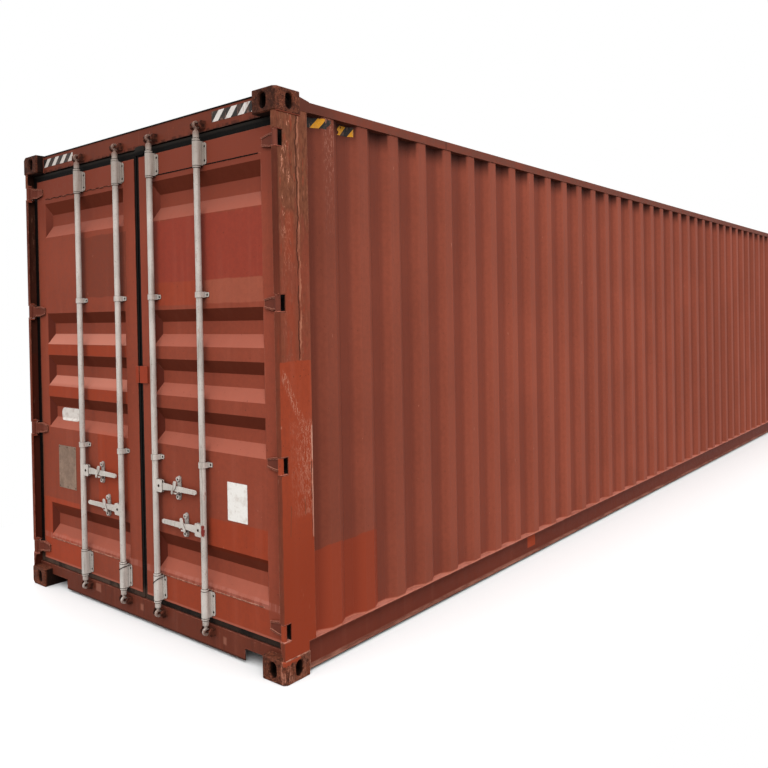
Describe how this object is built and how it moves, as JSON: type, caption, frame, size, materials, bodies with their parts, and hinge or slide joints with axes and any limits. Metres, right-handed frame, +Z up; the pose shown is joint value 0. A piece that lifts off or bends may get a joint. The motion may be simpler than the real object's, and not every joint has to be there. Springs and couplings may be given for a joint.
{
  "type": "shipping container",
  "caption": "High-cube steel freight container with corrugated walls, hinged end doors, turning lock rods and lift-and-swing handles.",
  "frame": {"origin": "Centre of the footprint, on the ground under the bottom corner castings.", "axes": "+Z up, the length along Y with the door end at -Y, and the side wall seen in the picture at +X."},
  "size_m": [2.438, 12.192, 2.896],
  "materials": {
    "body_paint": "weathered red-brown paint with rust",
    "casting_paint": "rusty cast steel under worn paint",
    "galvanised": "dull light grey zinc coat",
    "keeper_rust": "rusty steel",
    "seal_rubber": "black rubber",
    "floor_wood": "worn plywood",
    "plate_metal": "dull dirty plate",
    "seal_plate_paint": "bright red paint"
  },
  "bodies": {
    "box": {"corner_castings_bottom": "casting_paint", "corner_castings_top": "casting_paint", "rear_posts_outer": "body_paint", "rear_posts_inner": "body_paint", "front_posts": "body_paint", "top_side_rails": "body_paint", "bottom_side_rails": "body_paint", "rear_header": "body_paint", "rear_sill": "body_paint", "front_header": "body_paint", "front_sill": "body_paint", "side_wall_right": "body_paint", "side_wall_left": "body_paint", "front_wall": "body_paint", "roof": "body_paint", "floor": "floor_wood", "cross_members": "body_paint", "gooseneck_tunnel": "body_paint", "hinge_pins": "body_paint", "cam_keepers": "keeper_rust"},
    "right_door": {"door_right_frame": "body_paint", "door_right_panel": "body_paint", "door_right_gasket": "seal_rubber", "door_right_hinge_blades": "body_paint", "door_right_rod_brackets": "galvanised", "door_right_handle_rests": "galvanised", "door_right_seal_plate": "seal_plate_paint"},
    "left_door": {"door_left_frame": "body_paint", "door_left_panel": "body_paint", "door_left_gasket": "seal_rubber", "door_left_hinge_blades": "body_paint", "door_left_rod_brackets": "galvanised", "door_left_handle_rests": "galvanised", "door_left_seal_plate": "seal_plate_paint", "data_plate": "plate_metal"},
    "right_inner_lock_rod": {"lock_rod_right_inner": "galvanised"},
    "right_inner_handle": {"handle_right_inner": "galvanised"},
    "right_outer_lock_rod": {"lock_rod_right_outer": "galvanised"},
    "right_outer_handle": {"handle_right_outer": "galvanised"},
    "left_outer_lock_rod": {"lock_rod_left_outer": "galvanised"},
    "left_outer_handle": {"handle_left_outer": "galvanised"},
    "left_inner_lock_rod": {"lock_rod_left_inner": "galvanised"},
    "left_inner_handle": {"handle_left_inner": "galvanised"}
  },
  "joints": [
    {"name": "right_door_hinge", "type": "hinge", "parent": "box", "child": "right_door", "pos_m": [1.197, -6.077, 1.456], "axis": [0, 0, 1], "range_deg": [0, 265]},
    {"name": "left_door_hinge", "type": "hinge", "parent": "box", "child": "left_door", "pos_m": [-1.197, -6.077, 1.456], "axis": [0, 0, -1], "range_deg": [0, 265]},
    {"name": "right_inner_rod_turn", "type": "hinge", "parent": "right_door", "child": "right_inner_lock_rod", "pos_m": [0.17, -6.07, 1.456], "axis": [0, 0, 1], "range_deg": [-110, 0]},
    {"name": "right_inner_handle_lift", "type": "hinge", "parent": "right_inner_lock_rod", "child": "right_inner_handle", "pos_m": [0.21, -6.07, 0.843], "axis": [0, 1, 0], "range_deg": [-20, 0]},
    {"name": "right_outer_rod_turn", "type": "hinge", "parent": "right_door", "child": "right_outer_lock_rod", "pos_m": [0.594, -6.07, 1.456], "axis": [0, 0, -1], "range_deg": [-110, 0]},
    {"name": "right_outer_handle_lift", "type": "hinge", "parent": "right_outer_lock_rod", "child": "right_outer_handle", "pos_m": [0.554, -6.07, 0.646], "axis": [0, -1, 0], "range_deg": [-20, 0]},
    {"name": "left_outer_rod_turn", "type": "hinge", "parent": "left_door", "child": "left_outer_lock_rod", "pos_m": [-0.594, -6.07, 1.456], "axis": [0, 0, 1], "range_deg": [-110, 0]},
    {"name": "left_outer_handle_lift", "type": "hinge", "parent": "left_outer_lock_rod", "child": "left_outer_handle", "pos_m": [-0.554, -6.07, 0.843], "axis": [0, 1, 0], "range_deg": [-20, 0]},
    {"name": "left_inner_rod_turn", "type": "hinge", "parent": "left_door", "child": "left_inner_lock_rod", "pos_m": [-0.17, -6.07, 1.456], "axis": [0, 0, -1], "range_deg": [-110, 0]},
    {"name": "left_inner_handle_lift", "type": "hinge", "parent": "left_inner_lock_rod", "child": "left_inner_handle", "pos_m": [-0.21, -6.07, 0.646], "axis": [0, -1, 0], "range_deg": [-20, 0]}
  ]
}
